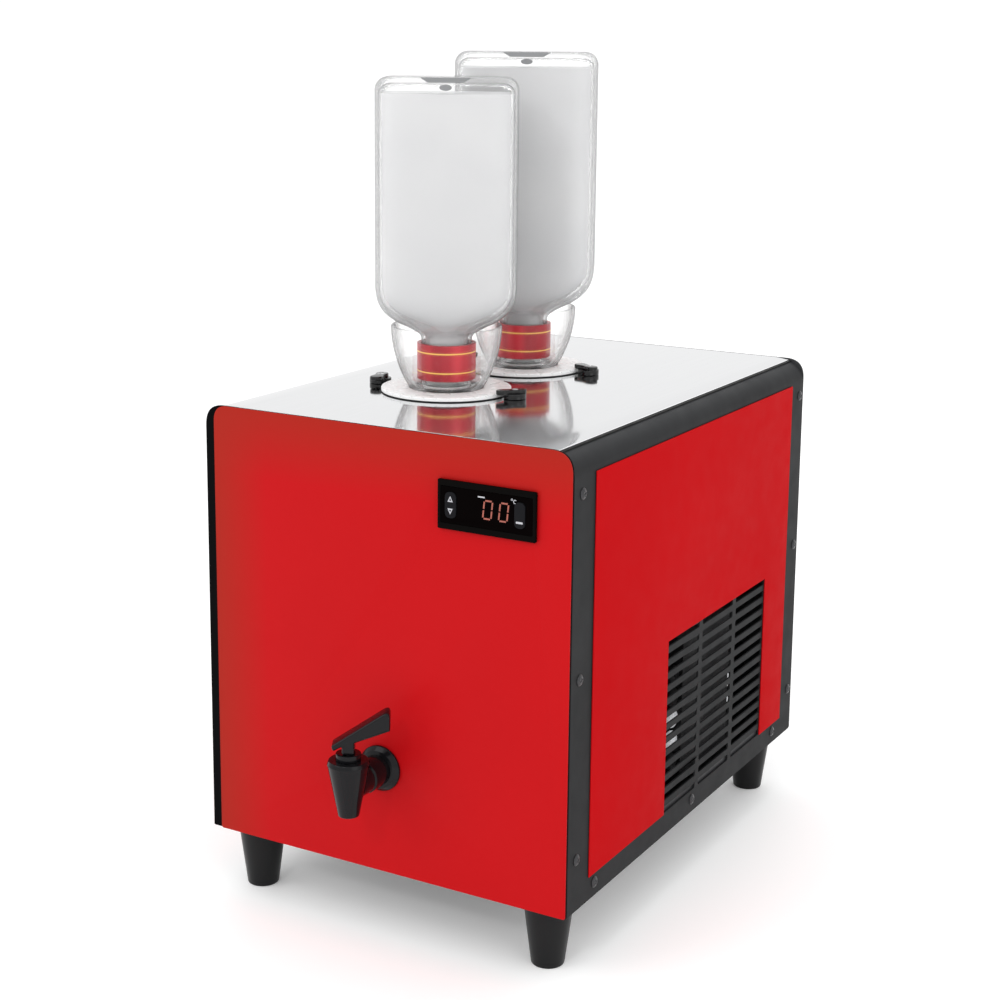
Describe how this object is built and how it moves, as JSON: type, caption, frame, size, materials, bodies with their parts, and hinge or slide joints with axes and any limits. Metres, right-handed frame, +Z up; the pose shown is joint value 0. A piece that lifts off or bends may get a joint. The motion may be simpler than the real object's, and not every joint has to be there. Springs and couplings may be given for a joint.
{
  "type": "chilled bottle dispenser",
  "caption": "Countertop chiller with inverted bottles standing in clear cups on a polished top, a lever tap, a temperature display and vented sides.",
  "frame": {"origin": "on the surface it stands on, under the middle of the whole machine's bounding box", "axes": "+Z up, -Y out of the front with the tap, +X to the right as seen from the front"},
  "size_m": [0.3082, 0.486, 0.637],
  "materials": {
    "black_steel": "satin black powder coat on folded steel",
    "red_skin": "smooth semi-gloss red coated sheet",
    "stainless": "mirror-polished stainless steel",
    "black_plastic": "moulded satin black plastic",
    "tap_black": "glossy black moulding",
    "white_plastic": "smooth white moulding",
    "clear_plastic": "water-clear moulding",
    "bottle_glass": "clear bottle glass",
    "drink": "clear colourless spirit",
    "label_red": "glossy red sleeve with two fine gold lines",
    "display": "smoked window over red figures",
    "key_grey": "matt charcoal keys",
    "copper": "bare copper tube",
    "aluminium": "thin bare fins and bends",
    "foam": "moulded insulating foam",
    "compressor_paint": "gloss black stove paint"
  },
  "bodies": {
    "root": {"front_panel": "black_steel", "rear_panel": "black_steel", "right_side_panel": "black_steel", "left_side_panel": "black_steel", "base_tray": "black_steel", "front_fascia": "red_skin", "right_red_skin": "red_skin", "left_red_skin": "red_skin", "top_panel": "stainless", "reservoir_tank": "stainless", "front_right_clamp_screw": "stainless", "front_left_clamp_screw": "stainless", "rear_right_clamp_screw": "stainless", "rear_left_clamp_screw": "stainless", "front_right_foot": "black_plastic", "front_left_foot": "black_plastic", "rear_right_foot": "black_plastic", "rear_left_foot": "black_plastic", "controller_case": "black_plastic", "fan_shroud": "black_plastic", "power_inlet": "black_plastic", "switch_case": "black_plastic", "tap_flange": "tap_black", "tap_shank": "tap_black", "tap_body": "tap_black", "tap_bonnet": "tap_black", "tap_nut": "white_plastic", "outlet_tube": "white_plastic", "front_cup_collar": "white_plastic", "rear_cup_collar": "white_plastic", "front_feed_spike": "white_plastic", "rear_feed_spike": "white_plastic", "front_cup_bowl": "clear_plastic", "rear_cup_bowl": "clear_plastic", "controller_window": "display", "evaporator_coil": "copper", "filter_drier": "copper", "condenser": "aluminium", "foam_jacket": "foam", "foam_lid": "foam", "compressor": "compressor_paint", "fan_motor": "compressor_paint"},
    "tap_plunger": {"tap_stem": "stainless", "tap_pin": "stainless"},
    "tap_handle": {"tap_lever": "tap_black"},
    "front_bottle": {"front_bottle_glass": "bottle_glass", "front_bottle_drink": "drink", "front_neck_label": "label_red"},
    "rear_bottle": {"rear_bottle_glass": "bottle_glass", "rear_bottle_drink": "drink", "rear_neck_label": "label_red"},
    "front_right_turn_clamp": {"front_right_clamp": "black_plastic"},
    "front_left_turn_clamp": {"front_left_clamp": "black_plastic"},
    "rear_right_turn_clamp": {"rear_right_clamp": "black_plastic"},
    "rear_left_turn_clamp": {"rear_left_clamp": "black_plastic"},
    "up_down_key": {"rocker_key": "key_grey"},
    "setting_key": {"set_key": "key_grey"},
    "fan_rotor": {"fan_blades": "black_plastic"},
    "mains_rocker": {"switch_rocker": "key_grey"}
  },
  "joints": [
    {"name": "tap_stem_lift", "type": "slide", "parent": "root", "child": "tap_plunger", "axis": [0, 0, 1], "range_m": [0, 0.00356]},
    {"name": "tap_lever_tilt", "type": "hinge", "parent": "tap_plunger", "child": "tap_handle", "pos_m": [0.0015, -0.22799, 0.16], "axis": [-0.5, 0.866, 0], "range_deg": [0, 24], "stiffness_Nm_per_rad": 0.5},
    {"name": "front_bottle_lift", "type": "slide", "parent": "root", "child": "front_bottle", "axis": [0, 0, 1], "range_m": [0, 0.12]},
    {"name": "rear_bottle_lift", "type": "slide", "parent": "root", "child": "rear_bottle", "axis": [0, 0, 1], "range_m": [0, 0.12]},
    {"name": "front_right_clamp_turn", "type": "hinge", "parent": "root", "child": "front_right_turn_clamp", "pos_m": [0.03, -0.04599, 0.3845], "axis": [0, 0, 1], "range_deg": [-51, 39]},
    {"name": "front_left_clamp_turn", "type": "hinge", "parent": "root", "child": "front_left_turn_clamp", "pos_m": [-0.091, -0.04599, 0.3845], "axis": [0, 0, 1], "range_deg": [-15, 75]},
    {"name": "rear_right_clamp_turn", "type": "hinge", "parent": "root", "child": "rear_right_turn_clamp", "pos_m": [0.03, 0.07501, 0.3845], "axis": [0, 0, 1], "range_deg": [-66, 24]},
    {"name": "rear_left_clamp_turn", "type": "hinge", "parent": "root", "child": "rear_left_turn_clamp", "pos_m": [-0.091, 0.07501, 0.3845], "axis": [0, 0, 1], "range_deg": [-24, 66]},
    {"name": "up_down_key_rock", "type": "hinge", "parent": "root", "child": "up_down_key", "pos_m": [0.061, -0.18949, 0.3337], "axis": [1, 0, 0], "range_deg": [-3, 3], "stiffness_Nm_per_rad": 0.05},
    {"name": "set_key_press", "type": "slide", "parent": "root", "child": "setting_key", "axis": [0, 1, 0], "range_m": [0, 0.0008], "stiffness_N_per_m": 250},
    {"name": "fan_spin", "type": "hinge", "parent": "root", "child": "fan_rotor", "pos_m": [0.1077, 0.07701, 0.131], "axis": [1, 0, 0], "continuous": true},
    {"name": "mains_switch_rock", "type": "hinge", "parent": "root", "child": "mains_rocker", "pos_m": [0.045, 0.23901, 0.11], "axis": [1, 0, 0], "range_deg": [-16, 0]}
  ],
  "couplings": [
    {"joint": "tap_lever_tilt", "follows": "tap_stem_lift", "rad_per_m": 117.65}
  ]
}
